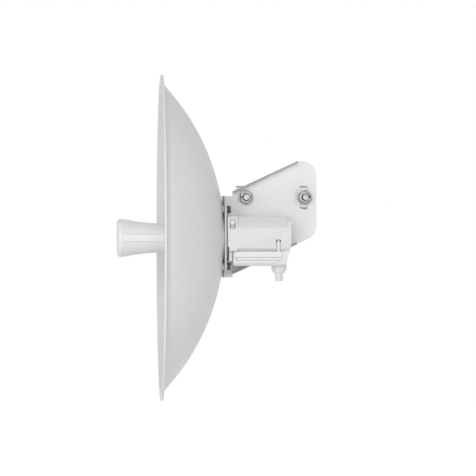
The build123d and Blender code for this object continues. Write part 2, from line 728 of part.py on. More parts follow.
def sub_reflector():
    face_x = FEED_TIP_X + FEED_WALL
    disc_r = SPIGOT_R - FEED_WALL - LOOSE
    return turned_x([
        (face_x, 0), (face_x, disc_r), (face_x + DISC_T, disc_r),
        (face_x + DISC_T, DISC_CONE_R), (face_x + DISC_T + DISC_CONE_H, 0),
    ])


def feed_radiator():
    """Crossed brass blades that stand on the board's front end."""
    x = BOARD_FRONT_X + BLADE_FROM_END
    thin = (-BLADE_T / 2, BLADE_T / 2)
    across = block((x + thin[0], x + thin[1]), (-BLADE_WIDTH / 2, BLADE_WIDTH / 2), (0, BLADE_H))
    return across + block((x - BLADE_LENGTH / 2, x + BLADE_LENGTH / 2), thin, (0, BLADE_H))


def collar_seal():
    x = (FLANGE_FRONT_X - SEAL_T, FLANGE_FRONT_X)
    return rod_x(COLLAR_R + COLLAR_SEAL_WIDTH, x) - rod_x(COLLAR_R, x)


# ---- Radio housing ----


def shell_section():
    return mirrored((FLOOR_HALF_W, FLOOR_Z), (HALF_W, SIDE_BOTTOM), (HALF_W, SIDE_TOP), (TOP_HALF_W, TOP_Z))


def rear_section():
    side_top, top_half = SIDE_TOP + REAR_CAP_STEP, TOP_HALF_W + REAR_CAP_STEP / 2
    return mirrored((FLOOR_HALF_W, FLOOR_Z), (HALF_W, SIDE_BOTTOM), (HALF_W, side_top), (top_half, TOP_Z))


def finger_x(clear=0.0):
    half = FINGER_WIDTH / 2 + clear
    return (FINGER_X - half, FINGER_X + half)


def finger_pockets():
    """Grooves in the housing's sides for the cover's snap fingers, deeper at the top."""
    x = finger_x(FINGER_CLEAR)
    top = FINGER_TOP + POCKET_OVER
    cuts = []
    for depth, bottom in ((FINGER_GROOVE, FLOOR_Z - PAST), (POCKET_DEPTH, top - POCKET_HEIGHT)):
        cuts += [block(x, y, (bottom, top)) for y in both_sides(HALF_W - depth, HALF_W + PAST)]
    return cuts


def case_screws(r, x):
    y = HALF_W - WALL - BOSS_INSET
    return [rod_x(r, x, side * y, BOSS_Z) for side in (-1, 1)]


def shell_inside():
    """Board rails, walls behind the finger pockets, and screw bosses."""
    x = (SHELL_FRONT_X, SHELL_REAR_X)
    rails = both_sides(BOARD_HALF_W - RAIL_WIDTH / 2, HALF_W - WALL / 2)
    pieces = [block(x, y, (BOARD_BOTTOM - RAIL_T, BOARD_BOTTOM)) for y in rails]
    backs = both_sides(HALF_W - POCKET_DEPTH - POCKET_BACK, HALF_W - WALL / 2)
    back_x = finger_x(FINGER_CLEAR + POCKET_BACK)
    pieces += [block(back_x, y, (FLOOR_Z + WALL / 2, BOARD_BOTTOM)) for y in backs]
    return pieces + case_screws(BOSS_R, (SHELL_REAR_X - BOSS_LENGTH, SHELL_REAR_X))


def housing_shell():
    """The main shell: a tube with a floor, board rails, screw bosses and finger grooves."""
    section = shell_section()
    x = (SHELL_FRONT_X, SHELL_REAR_X)
    body = along_x(section, x)
    floor_edges = body.edges().filter_by(Axis.X).group_by(Axis.Z)[0]
    body = fillet(floor_edges, FLOOR_EDGE_R)
    body -= along_x(offset(section, -WALL), (x[0] - PAST, x[1] + PAST))
    for piece in shell_inside():
        body += piece
    screw_x = (SHELL_REAR_X - CASE_SCREW_DEPTH - LOOSE, SHELL_REAR_X + PAST)
    for cut in case_screws(CASE_SCREW_R + STUB, screw_x) + finger_pockets():
        body -= cut
    floor_cut = (FLOOR_Z - PAST, FLOOR_Z + WALL + PAST)
    half = JACK_Y / 2 + LOOSE
    body -= block((JACK_FRONT_X - LOOSE, JACK_REAR_X + LOOSE), (-half, half), floor_cut)
    return body - rod_z(BUTTON_R + RUNNING, floor_cut, BUTTON_X)


def rear_cap_seal():
    x = (SHELL_REAR_X, SHELL_CAP_X)
    section = offset(shell_section(), -REAR_SEAL_INSET)
    return along_x(section, x) - along_x(offset(section, -REAR_SEAL_WIDTH), (x[0] - PAST, x[1] + PAST))


def rear_cap_lean():
    """The wedge that slants the rear cap's lower face forward."""
    outside = CAP_REAR_X + REAR_CAP_T
    wedge = polygon(
        (CAP_REAR_X, REAR_CAP_LEAN_TOP), (outside, REAR_CAP_LEAN_TOP),
        (outside, FLOOR_Z - PAST), (CAP_REAR_X - REAR_CAP_LEAN, FLOOR_Z - PAST),
    )
    return along_y(wedge, (-HALF_W - PAST, HALF_W + PAST))


def housing_rear_cap():
    body = along_x(rear_section(), (SHELL_CAP_X, CAP_REAR_X)) - rear_cap_lean()
    through = (SHELL_CAP_X - PAST, CAP_REAR_X + PAST)
    cuts = case_screws(CASE_SCREW_R + BOLT_HOLE, through)
    cuts += case_screws(CASE_HEAD_R + BOLT_HOLE, (CAP_REAR_X - CASE_HEAD_SUNK, through[1]))
    cuts += [rod_x(LIGHT_R + STUB, through, y, LIGHT_Z) for y in light_places()]
    for cut in cuts:
        body -= cut
    return body


def rear_cap_screws():
    seat = CAP_REAR_X - CASE_HEAD_SUNK
    heads = case_screws(CASE_HEAD_R, (seat, CAP_REAR_X - CASE_HEAD_BELOW))
    shanks = case_screws(CASE_SCREW_R, (SHELL_REAR_X - CASE_SCREW_DEPTH, seat))
    return as_group([head + shank for head, shank in zip(heads, shanks)])


def light_places():
    return (-LIGHT_STEP, 0, LIGHT_STEP)


def led_light_pipes():
    x = (BOARD_REAR_X - LIGHT_OVERLAP, CAP_REAR_X + LIGHT_PROUD)
    return as_group([rod_x(LIGHT_R, x, y, LIGHT_Z) for y in light_places()])


def radio_board():
    z = (BOARD_BOTTOM, 0)
    shoulder = SHELL_FRONT_X + BOARD_SHOULDER
    tail = block((BOARD_FRONT_X, 2 * shoulder - SHELL_FRONT_X), (-BOARD_TAIL_HALF_W, BOARD_TAIL_HALF_W), z)
    return tail + block((shoulder, BOARD_REAR_X), (-BOARD_HALF_W, BOARD_HALF_W), z)


def shield_x(inset):
    return (SHIELD_FRONT_X + inset, SHIELD_FRONT_X + SHIELD_SIDE - inset)


def shield_y(inset):
    return (inset - SHIELD_SIDE / 2, SHIELD_SIDE / 2 - inset)


def rf_shield():
    can = block(shield_x(0), shield_y(0), (0, SHIELD_H))
    return can - block(shield_x(SHIELD_T), shield_y(SHIELD_T), (-PAST, SHIELD_H - SHIELD_T))


def heat_sink():
    x, y = shield_x(SINK_INSET), shield_y(SINK_INSET)
    base_top = SHIELD_H + SINK_BASE_T
    body = block(x, y, (SHIELD_H, base_top))
    pitch = (y[1] - y[0] - FIN_T) / (FIN_COUNT - 1)
    for i in range(FIN_COUNT):
        fin_y = y[0] + pitch * i
        body += block(x, (fin_y, fin_y + FIN_T), (base_top, SHIELD_H + SINK_H))
    return body


def ethernet_jack():
    body = block((JACK_FRONT_X, JACK_REAR_X), (-JACK_Y / 2, JACK_Y / 2), (JACK_BOTTOM, BOARD_BOTTOM))
    front, rear = SPOUT_X - SOCKET_X / 2, SPOUT_X + SOCKET_X / 2
    z = (JACK_BOTTOM - PAST, JACK_BOTTOM + SOCKET_DEPTH)
    body -= block((front, rear), (-SOCKET_Y / 2, SOCKET_Y / 2), z)
    return body - block((front, rear + CATCH_DEPTH), (-CATCH_WIDTH / 2, CATCH_WIDTH / 2), z)


def reset_switch():
    half = SWITCH_SIDE / 2
    low = BOARD_BOTTOM - SWITCH_H
    body = block((BUTTON_X - half, BUTTON_X + half), (-half, half), (low, BOARD_BOTTOM))
    return body - rod_z(BUTTON_R + RUNNING, (low - PAST, BUTTON_TOP + BUTTON_TRAVEL + FACE), BUTTON_X)


def reset_button():
    return rod_z(BUTTON_R, (FLOOR_Z + BUTTON_INSET, BUTTON_TOP), BUTTON_X)


def release_latch():
    half = LATCH_WIDTH / 2
    low = LATCH_TOP - LATCH_HEIGHT
    tab = block((LATCH_X - half, LATCH_X + half), (-HALF_W, -HALF_W + LATCH_T), (low, LATCH_TOP))
    groove_y = (-HALF_W - PAST, -HALF_W + LATCH_GROOVE_DEPTH)
    for i in range(LATCH_GROOVES):
        z = low + LATCH_GROOVE_STEP * i + LATCH_GROOVE
        tab -= block((LATCH_X - LATCH_WIDTH, LATCH_X + LATCH_WIDTH), groove_y, (z, z + LATCH_GROOVE))
    return tab


# ---- Port cover ----


def port_seal():
    """Two side strips and a front strip under the housing's floor, inside the cover's walls."""
    x = (SHELL_FRONT_X, SHELL_REAR_X - COVER_WALL)
    half = FLOOR_HALF_W - COVER_WALL - LOOSE
    inner = half - PORT_SEAL_WIDTH
    z = (FLOOR_Z - PORT_SEAL_T, FLOOR_Z)
    body = block(x, (-half, half), z)
    return body - block((x[0] + PORT_SEAL_WIDTH, x[1] + PAST), (-inner, inner), (z[0] - PAST, z[1] + PAST))


def cover_ridges():
    """The finger grip on each side: three ridges, each shorter and lower than the one above."""
    ridges = []
    top = RIDGE_TOP
    for row, x in enumerate(RIDGE_ENDS):
        height = RIDGE_H if row else FIRST_RIDGE_H
        proud = HALF_W - RIDGE_STEP_IN * row
        inner = FLOOR_HALF_W - COVER_WALL / 2
        for side, y in zip((-1, 1), both_sides(inner, proud)):
            ridge = block(x, y, (top - height, top))
            outer = ridge.edges().filter_by(Axis.X).group_by(Axis.Y)[0 if side < 0 else -1]
            ridges.append(fillet(outer, RIDGE_EDGE_R))
        if row:
            groove = (top, top + RIDGE_GAP)
            ridges += [block(x, y, groove) for y in both_sides(inner, proud - RIDGE_GROOVE)]
        top -= height + RIDGE_GAP
    return ridges


def cover_body():
    low_rear = COVER_REAR_X - COVER_REAR_LEAN
    profile = polygon(
        (COVER_FRONT_X, COVER_TOP), (COVER_REAR_X, COVER_TOP), (low_rear, COVER_BOTTOM + COVER_CHAMFER),
        (low_rear - COVER_CHAMFER, COVER_BOTTOM), (COVER_FRONT_X + COVER_CHAMFER, COVER_BOTTOM),
        (COVER_FRONT_X, COVER_BOTTOM + COVER_CHAMFER),
    )
    low = [(FLOOR_HALF_W, COVER_BOTTOM), (-FLOOR_HALF_W, COVER_BOTTOM)]
    section = polygon((-FLOOR_HALF_W, COVER_TOP), (FLOOR_HALF_W, COVER_TOP), *low)
    section = fillet(corners_at(section, *low), COVER_CORNER_R)
    return along_y(profile, (-HALF_W, HALF_W)) & along_x(section, (COVER_FRONT_X, COVER_REAR_X))


def cover_inside():
    """The compartment: its rear wall leans as the cover's outside does."""
    half = FLOOR_HALF_W - COVER_WALL
    front, rear = COVER_FRONT_X + COVER_WALL, COVER_REAR_X - COVER_WALL
    room = along_y(polygon(
        (front, COVER_TOP + PAST), (rear, COVER_TOP + PAST), (rear, COVER_TOP),
        (rear - COVER_REAR_LEAN, COVER_FLOOR), (front, COVER_FLOOR),
    ), (-half, half))
    return fillet(room.edges().filter_by(Axis.X).group_by(Axis.Z)[0], COVER_CORNER_R - COVER_WALL)


def spout():
    """A rounded cup under the cover, which the cable leaves through."""
    neck, tip = (SPOUT_TOP_R, 0, COVER_BOTTOM - SPOUT_NECK), (SPOUT_TIP_R, 0, SPOUT_TIP_Z)
    outline = make_face([
        Polyline(tip, (0, 0, SPOUT_TIP_Z), (0, 0, COVER_FLOOR), (SPOUT_TOP_R, 0, COVER_FLOOR), neck),
        TangentArc(neck, tip, tangent=(0, 0, -1)),
    ])
    return Pos(SPOUT_X, 0, 0) * revolve(outline, Axis.Z)


def port_cover():
    body = cover_body() + spout() - cover_inside()
    body -= rod_z(GROMMET_R + STUB, (SPOUT_TIP_Z - PAST, COVER_BOTTOM), SPOUT_X)
    body -= rod_z(GROMMET_FLANGE_R + STUB, (GROMMET_SEAT, COVER_FLOOR + PAST), SPOUT_X)
    for ridge in cover_ridges():
        body += ridge
    for y in both_sides(HALF_W - FINGER_T, HALF_W):
        body += block(finger_x(), y, (FINGER_FOOT, FINGER_TOP))
    return body


def cable_grommet():
    flange_top = GROMMET_SEAT + GROMMET_FLANGE_T
    body = rod_z(GROMMET_R, (GROMMET_TIP_Z, GROMMET_SEAT), SPOUT_X)
    body = fillet(body.edges().group_by(Axis.Z)[0], GROMMET_EDGE_R)
    body += rod_z(GROMMET_FLANGE_R, (GROMMET_SEAT, flange_top), SPOUT_X)
    return body - rod_z(CABLE_HOLE_R, (GROMMET_TIP_Z - PAST, flange_top + PAST), SPOUT_X)


def build_nodes():
    """Every piece by its node's name, in place."""
    places = dish_screw_places()
    nodes = {
        "near_jaw": near_jaw(),
        "far_jaw": far_jaw(),
        "pivot_bolt": clamp_bolt(PIVOT_X),
        "elevation_bolt": clamp_bolt(-PIVOT_X),
        "pivot_nut": clamp_nut(PIVOT_X),
        "elevation_nut": clamp_nut(-PIVOT_X),
        "clamp_washers": as_group([clamp_washer(x) for x in (PIVOT_X, -PIVOT_X)]),
        "clamp_spring_washers": as_group([spring_washer(x) for x in (PIVOT_X, -PIVOT_X)]),
        "mounting_bracket": mounting_bracket(),
        "dish_reflector": dish_reflector(),
        "dish_screws": as_group([dish_screw(y, z) for y, z in places]),
        "dish_washers": as_group([dish_washer(y, z) for y, z in places]),
        "dish_nuts": as_group([dish_nut(y, z) for y, z in places]),
    }
    radio = {
        "feed_radome": feed_radome(),
        "feed_end_cap": feed_end_cap(),
        "cap_seal": cap_seal(),
        "sub_reflector": sub_reflector(),
        "feed_radiator": feed_radiator(),
        "collar_seal": collar_seal(),
        "housing_shell": housing_shell(),
        "rear_cap_seal": rear_cap_seal(),
        "housing_rear_cap": housing_rear_cap(),
        "rear_cap_screws": rear_cap_screws(),
        "led_light_pipes": led_light_pipes(),
        "radio_board": radio_board(),
        "rf_shield": rf_shield(),
        "heat_sink": heat_sink(),
        "ethernet_jack": ethernet_jack(),
        "reset_switch": reset_switch(),
        "reset_button": reset_button(),
        "release_latch": release_latch(),
        "port_seal": port_seal(),
        "port_cover": port_cover(),
        "cable_grommet": cable_grommet(),
    }
    for name, shape in radio.items():
        nodes[name] = on_dish_axis(shape)
    return nodes


os.makedirs("parts", exist_ok=True)
for name, shape in build_nodes().items():
    export_step(shape, f"parts/{name}.step")
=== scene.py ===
import json
import math

import bmesh
import bpy
from mathutils import Matrix, Vector
from mathutils.bvhtree import BVHTree


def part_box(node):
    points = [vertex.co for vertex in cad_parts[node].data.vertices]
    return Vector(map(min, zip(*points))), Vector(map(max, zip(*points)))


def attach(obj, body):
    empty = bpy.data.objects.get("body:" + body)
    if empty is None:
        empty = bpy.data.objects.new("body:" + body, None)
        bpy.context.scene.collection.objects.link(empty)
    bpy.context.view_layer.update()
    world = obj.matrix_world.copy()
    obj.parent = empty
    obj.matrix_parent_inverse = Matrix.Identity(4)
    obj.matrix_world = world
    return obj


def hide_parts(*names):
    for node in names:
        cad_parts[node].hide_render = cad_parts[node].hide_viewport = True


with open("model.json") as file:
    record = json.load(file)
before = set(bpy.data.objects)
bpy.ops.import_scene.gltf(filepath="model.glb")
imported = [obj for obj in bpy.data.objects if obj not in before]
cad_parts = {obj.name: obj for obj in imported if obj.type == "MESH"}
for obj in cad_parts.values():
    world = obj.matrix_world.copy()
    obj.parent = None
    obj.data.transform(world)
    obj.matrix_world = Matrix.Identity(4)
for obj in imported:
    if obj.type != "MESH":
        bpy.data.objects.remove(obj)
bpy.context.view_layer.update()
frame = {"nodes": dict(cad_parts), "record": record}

# An outdoor wireless bridge in a plain pale studio. Metres, in the CAD model's frame: the
# pole's axis is Z, the dish looks along -X and the camera stands at -Y.

MM = 0.001


def box_mm(node):
    """The low and high corners of a node's box in millimetres, to a thousandth."""
    return [[round(c / MM, 3) for c in corner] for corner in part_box(node)]


def middle_mm(node):
    """The middle of a node's box in millimetres, to a thousandth."""
    low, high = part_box(node)
    return [round((a + b) / 2 / MM, 3) for a, b in zip(low, high)]


# ---- Places that the pieces share, in millimetres ----
_, AXIS_Y, AXIS_Z = middle_mm("feed_end_cap")  # the axis of the dish and the horn
DISH_LOW, DISH_HIGH = box_mm("dish_reflector")
SHELL_LOW, SHELL_HIGH = box_mm("housing_shell")
LID_LOW, _ = box_mm("housing_rear_cap")
HORN_LOW, _ = box_mm("feed_radome")
BRACKET_LOW, BRACKET_HIGH = box_mm("mounting_bracket")
JAW_LOW, _ = box_mm("near_jaw")
BRACKET_SHEET = 2.0
PLATE_FRONT_X = BRACKET_LOW[0]
PLATE_REAR_X = PLATE_FRONT_X + BRACKET_SHEET
WING_Y = BRACKET_HIGH[1] - BRACKET_SHEET  # the wing's face towards the camera

# ---- Camera ----
YAW = math.radians(3.4)  # the camera looks a little along +X
DISTANCE = 3.3
LOOK_AT = Vector((-44.4, AXIS_Y, AXIS_Z)) * MM
FRAME_WIDTH = 0.5347  # seen at the object's distance
SENSOR = 36.0
FAR_CLIP = 100.0

# ---- Studio ----
FLOOR_Z = -0.6
FLOOR_HALF = 6.0
FLOOR_GREY = 0.9
FLOOR_GLOW = 0.7  # for the rays that white_for_the_camera picks
AMBIENT = 0.5
KEY_AT = (-0.4, -2.5, 0.35)
KEY_SIZE = 1.6
KEY_POWER = 24.0
FILL_AT = (-2.0, -1.8, -0.2)
FILL_SIZE = 1.6
FILL_POWER = 2.5


def make_camera():
    data = bpy.data.cameras.new("camera")
    data.sensor_width = SENSOR
    data.lens = SENSOR * DISTANCE / FRAME_WIDTH
    data.clip_end = FAR_CLIP
    camera = bpy.data.objects.new("camera", data)
    forward = Vector((math.sin(YAW), math.cos(YAW), 0.0))
    camera.location = LOOK_AT - DISTANCE * forward
    camera.rotation_euler = forward.to_track_quat("-Z", "Y").to_euler()
    bpy.context.scene.collection.objects.link(camera)
    bpy.context.scene.camera = camera


def area_light(name, location, target, size, power):
    data = bpy.data.lights.new(name, "AREA")
    data.shape = "DISK"
    data.size = size
    data.energy = power
    light = bpy.data.objects.new(name, data)
    light.location = location
    light.rotation_euler = (Vector(target) - Vector(location)).to_track_quat("-Z", "Y").to_euler()
    bpy.context.scene.collection.objects.link(light)


def make_lights():
    area_light("key", KEY_AT, LOOK_AT, KEY_SIZE, KEY_POWER)
    area_light("fill", FILL_AT, LOOK_AT, FILL_SIZE, FILL_POWER)


def white_for_the_camera(tree):
    """1 for camera, glossy and transmission rays, 0 for the rays that light the object."""
    path = tree.nodes.new("ShaderNodeLightPath")
    either = path.outputs["Is Camera Ray"]
    for name in ("Is Glossy Ray", "Is Transmission Ray"):
        pick = tree.nodes.new("ShaderNodeMath")
        pick.operation = "MAXIMUM"
        tree.links.new(either, pick.inputs[0])
        tree.links.new(path.outputs[name], pick.inputs[1])
        either = pick.outputs[0]
    return either


def make_world():
    world = bpy.data.worlds.new("studio")
    world.use_nodes = True
    tree = world.node_tree
    tree.nodes.clear()
    out = tree.nodes.new("ShaderNodeOutputWorld")
    mix = tree.nodes.new("ShaderNodeMixShader")
    ambient = tree.nodes.new("ShaderNodeBackground")
    ambient.inputs["Strength"].default_value = AMBIENT
    white = tree.nodes.new("ShaderNodeBackground")
    for shader in (ambient, white):
        shader.inputs["Color"].default_value = (1, 1, 1, 1)
    tree.links.new(white_for_the_camera(tree), mix.inputs[0])
    tree.links.new(ambient.outputs[0], mix.inputs[1])
    tree.links.new(white.outputs[0], mix.inputs[2])
    tree.links.new(mix.outputs[0], out.inputs["Surface"])
    bpy.context.scene.world = world


def make_floor():
    mesh = bpy.data.meshes.new("floor")
    h = FLOOR_HALF
    mesh.from_pydata([(-h, -h, 0), (h, -h, 0), (h, h, 0), (-h, h, 0)], [], [(0, 1, 2, 3)])
    floor = bpy.data.objects.new("floor", mesh)
    floor.location = (0, 0, FLOOR_Z)
    bpy.context.scene.collection.objects.link(floor)
    material = bpy.data.materials.new("floor_paint")
    material.use_nodes = True
    tree = material.node_tree
    tree.nodes.clear()
    out = tree.nodes.new("ShaderNodeOutputMaterial")
    add = tree.nodes.new("ShaderNodeAddShader")
    matte = tree.nodes.new("ShaderNodeBsdfDiffuse")
    matte.inputs["Color"].default_value = (FLOOR_GREY, FLOOR_GREY, FLOOR_GREY, 1)
    glow = tree.nodes.new("ShaderNodeEmission")
    share = tree.nodes.new("ShaderNodeMath")
    share.operation = "MULTIPLY"
    share.inputs[1].default_value = FLOOR_GLOW
    tree.links.new(white_for_the_camera(tree), share.inputs[0])
    tree.links.new(share.outputs[0], glow.inputs["Strength"])
    tree.links.new(matte.outputs[0], add.inputs[0])
    tree.links.new(glow.outputs[0], add.inputs[1])
    tree.links.new(add.outputs[0], out.inputs["Surface"])
    mesh.materials.append(material)


# ---- Materials ----

NOISE_RANGE = (0.3, 0.7)  # most of a noise texture's values lie in it
CORNER_SAMPLES = 8


class Finish:
    """One procedural material, with a few helpers for its nodes. Scales are per metre."""

    def __init__(self, name, colour, roughness, metallic=0.0):
        self.material = bpy.data.materials.new(name)
        self.material.use_nodes = True
        self.tree = self.material.node_tree
        self.shader = self.tree.nodes["Principled BSDF"]
        self.shader.inputs["Base Color"].default_value = (*colour, 1)
        self.shader.inputs["Roughness"].default_value = roughness
        self.shader.inputs["Metallic"].default_value = metallic
        self.colour = colour
        self.roughness = roughness
        self.place = self.tree.nodes.new("ShaderNodeTexCoord").outputs["Object"]
        self.tint = None
        self.normal = None

    def noise(self, scale, detail):
        node = self.tree.nodes.new("ShaderNodeTexNoise")
        node.inputs["Scale"].default_value = scale
        node.inputs["Detail"].default_value = detail
        self.tree.links.new(self.place, node.inputs["Vector"])
        return node.outputs["Fac"]

    def spread(self, value, low, high):
        """Maps a noise onto the range from low to high."""
        node = self.tree.nodes.new("ShaderNodeMapRange")
        node.inputs["From Min"].default_value = NOISE_RANGE[0]
        node.inputs["From Max"].default_value = NOISE_RANGE[1]
        node.inputs["To Min"].default_value = low
        node.inputs["To Max"].default_value = high
        self.tree.links.new(value, node.inputs["Value"])
        return node.outputs["Result"]

    def vary_roughness(self, value, amount):
        level = self.spread(value, self.roughness - amount, self.roughness + amount)
        self.tree.links.new(level, self.shader.inputs["Roughness"])

    def vary_colour(self, value, other):
        mix = self.tree.nodes.new("ShaderNodeMix")
        mix.data_type = "RGBA"
        mix.inputs["A"].default_value = (*self.colour, 1)
        mix.inputs["B"].default_value = (*other, 1)
        self.tree.links.new(self.spread(value, 0, 1), mix.inputs["Factor"])
        self.tint = mix.outputs["Result"]
        self.tree.links.new(self.tint, self.shader.inputs["Base Color"])

    def paint_corner_shade(self, reach, share):
        """Painted shade in slots and inside corners; reach is in millimetres."""
        corner = self.tree.nodes.new("ShaderNodeAmbientOcclusion")
        corner.samples = CORNER_SAMPLES
        corner.inputs["Distance"].default_value = reach * MM
        mix = self.tree.nodes.new("ShaderNodeMix")
        mix.data_type = "RGBA"
        mix.inputs["A"].default_value = (*shade(self.colour, share), 1)
        self.tree.links.new(corner.outputs["AO"], mix.inputs["Factor"])
        self.tree.links.new(self.tint, mix.inputs["B"])
        self.tint = mix.outputs["Result"]
        self.tree.links.new(self.tint, self.shader.inputs["Base Color"])

    def bump(self, value, height):
        """A fine surface grain; height is in millimetres."""
        node = self.tree.nodes.new("ShaderNodeBump")
        node.inputs["Distance"].default_value = height * MM
        self.tree.links.new(value, node.inputs["Height"])
        if self.normal is not None:
            self.tree.links.new(self.normal, node.inputs["Normal"])
        self.normal = node.outputs["Normal"]
        self.tree.links.new(self.normal, self.shader.inputs["Normal"])


def shade(colour, share):
    return tuple(c * share for c in colour)


# corners: the share of the colour left in the painted corner shade
def powder_coat(name, colour, corners=0.6):
    finish = Finish(name, colour, roughness=0.42)
    finish.vary_colour(finish.noise(scale=9, detail=4), shade(colour, 0.965))
    finish.vary_roughness(finish.noise(scale=60, detail=4), amount=0.06)
    finish.bump(finish.noise(scale=850, detail=2), height=0.03)
    finish.paint_corner_shade(reach=1.5, share=corners)
    return finish.material


def moulded(name, colour, roughness):
    finish = Finish(name, colour, roughness)
    finish.vary_colour(finish.noise(scale=14, detail=3), shade(colour, 0.975))
    finish.vary_roughness(finish.noise(scale=90, detail=3), amount=0.05)
    finish.bump(finish.noise(scale=2600, detail=2), height=0.012)
    # painted shade in slots and inside corners
    finish.paint_corner_shade(reach=2.0, share=0.7)
    return finish.material


def plated(name, colour, roughness, metallic=1.0):
    finish = Finish(name, colour, roughness, metallic)
    finish.vary_colour(finish.noise(scale=260, detail=4), shade(colour, 0.8))
    finish.vary_roughness(finish.noise(scale=700, detail=3), amount=0.1)
    finish.bump(finish.noise(scale=1500, detail=3), height=0.01)
    return finish.material


def rubbery(name, colour):
    finish = Finish(name, colour, roughness=0.75)
    finish.vary_colour(finish.noise(scale=120, detail=3), shade(colour, 0.85))
    finish.vary_roughness(finish.noise(scale=400, detail=3), amount=0.08)
    finish.bump(finish.noise(scale=1800, detail=3), height=0.02)
    return finish.material


def clear_plastic(name):
    finish = Finish(name, (0.85, 0.9, 0.88), roughness=0.12)
    finish.shader.inputs["Transmission Weight"].default_value = 0.4
    finish.vary_roughness(finish.noise(scale=500, detail=2), amount=0.04)
    return finish.material


def make_materials():
    return {
        "dish_paint": powder_coat("dish_paint", (0.85, 0.85, 0.835)),
        "bracket_paint": powder_coat("bracket_paint", (0.89, 0.89, 0.875)),
        # painted shade on the near jaw's bends
        "bend_painted_shade": powder_coat("bend_painted_shade", (0.42, 0.42, 0.415)),
        # painted shade on the base plate's side towards the dish
        "plate_painted_shade": powder_coat("plate_painted_shade", (0.4, 0.4, 0.395)),
        # painted shade on the base plate's edge
        "plate_edge_painted_shade": powder_coat("plate_edge_painted_shade", (0.66, 0.66, 0.65)),
        # painted light on the keeper tab; it also keeps little of the painted corner shade
        "ledge_painted_light": powder_coat("ledge_painted_light", (0.94, 0.94, 0.93), corners=0.95),
        "cut_edge": plated("cut_edge", (0.34, 0.34, 0.335), 0.5, metallic=0.3),
        "zinc_plate": plated("zinc_plate", (0.36, 0.36, 0.355), 0.34),
        "bolt_zinc": plated("bolt_zinc", (0.25, 0.25, 0.245), 0.3),
        "nut_zinc": plated("nut_zinc", (0.25, 0.25, 0.25), 0.36),
        "dark_zinc": plated("dark_zinc", (0.09, 0.09, 0.09), 0.5, metallic=0.6),
        "white_plastic": moulded("white_plastic", (0.785, 0.785, 0.775), 0.45),
        "feed_plastic": moulded("feed_plastic", (0.9, 0.9, 0.89), 0.45),
        # painted light on the horn's rib
        "rib_painted_light": moulded("rib_painted_light", (0.96, 0.96, 0.95), 0.4),
        "cover_plastic": moulded("cover_plastic", (0.86, 0.86, 0.85), 0.45),
        "grey_rubber": rubbery("grey_rubber", (0.05, 0.05, 0.05)),
        "pale_rubber": rubbery("pale_rubber", (0.92, 0.92, 0.91)),
        "circuit_board": moulded("circuit_board", (0.02, 0.12, 0.05), 0.35),
        "brass": plated("brass", (0.75, 0.55, 0.25), 0.3),
        "bare_aluminium": plated("bare_aluminium", (0.75, 0.75, 0.76), 0.35),
        "tin_plate": plated("tin_plate", (0.62, 0.62, 0.62), 0.3),
        "clear_plastic": clear_plastic("clear_plastic"),
        # painted shade in the housing's pockets
        "black_plastic": moulded("black_plastic", (0.02, 0.02, 0.02), 0.4),
    }


def dress(nodes, materials):
    """Gives every CAD node the material of its slot."""
    for part in frame["record"]["subparts"]:
        mesh = nodes[part["node"]].data
        mesh.materials.clear()
        mesh.materials.append(materials[part["material_slot"]])


# ---- Pieces ----

BODY_OF = {n: body for body, names in frame["record"]["behaviour"]["bodies"].items() for n in names}
SLOT_OF = {part["node"]: part["material_slot"] for part in frame["record"]["subparts"]}
SHARP = math.radians(20)  # shading is crisp past this angle
FLAT = math.radians(1)  # faces that meet at less are one face
EDGE_ANGLE = math.radians(30)  # edges sharper than this are softened
MERGE = 1e-6  # metres; points this near are one
SNAP = 1e-7  # metres; points this near a cut are on it
LATCH_TOP_WIDER = 1.22  # times its CAD width
LATCH_LONGER = 0.4  # millimetres
SEAMS = (SHELL_LOW[0], SHELL_HIGH[0], LID_LOW[0])  # edges at the housing's two ends stay crisp
SEAM_REACH = 0.01
HORN_SOFT = 0.3  # softened edges of the horn's collar and front flange

# Width in millimetres of the softened edges of the nodes that keep their CAD shape
SOFT_EDGES = {
    "near_jaw": 0.4, "far_jaw": 0.4, "mounting_bracket": 0.3, "clamp_washers": 0.2,
    "clamp_spring_washers": 0.25, "pivot_nut": 0.2, "elevation_nut": 0.2, "dish_washers": 0.15,
    "dish_nuts": 0.15, "feed_end_cap": 0.3, "housing_shell": 0.3, "housing_rear_cap": 0.6,
    "rear_cap_screws": 0.15, "port_cover": 0.3, "release_latch": 0.35, "ethernet_jack": 0.2,
    "reset_button": 0.2, "heat_sink": 0.15, "rf_shield": 0.2, "radio_board": 0.1,
    "reset_switch": 0.2, "led_light_pipes": 0.25,
}


def place(name, bm, node, material):
    """Makes a piece from a bmesh: it rides on the node's body and takes the given material."""
    mesh = bpy.data.meshes.new(name)
    bmesh.ops.recalc_face_normals(bm, faces=bm.faces)
    bm.to_mesh(mesh)
    bm.free()
    mesh.shade_smooth()
    mesh.set_sharp_from_angle(angle=SHARP)
    mesh.materials.append(material)
    piece = bpy.data.objects.new(name, mesh)
    bpy.context.scene.collection.objects.link(piece)
    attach(piece, BODY_OF[node])
    return piece


def cad_copy(node):
    """The node's shape with its flat areas as single faces."""
    bm = bmesh.new()
    bm.from_mesh(frame["nodes"][node].data)
    bmesh.ops.remove_doubles(bm, verts=bm.verts, dist=MERGE)
    bmesh.ops.dissolve_limit(bm, angle_limit=FLAT, verts=bm.verts, edges=bm.edges)
    return bm


def at_seam(edge):
    return any(all(abs(v.co.x / MM - x) < SEAM_REACH for v in edge.verts) for x in SEAMS)


def soften(bm, width):
    """Rounds each edge that isn't shallow or at a seam, and keeps the new surface on the old one."""
    old = BVHTree.FromBMesh(bm)
    edges = [e for e in bm.edges if e.calc_face_angle(0) > EDGE_ANGLE and not at_seam(e)]
    bmesh.ops.bevel(bm, geom=edges, offset=width * MM, segments=2, profile=0.5,
                    affect="EDGES", clamp_overlap=False, loop_slide=False)
    for vertex in bm.verts:
        near, _, _, distance = old.find_nearest(vertex.co)
        if distance > width * MM / 2:
            vertex.co = near


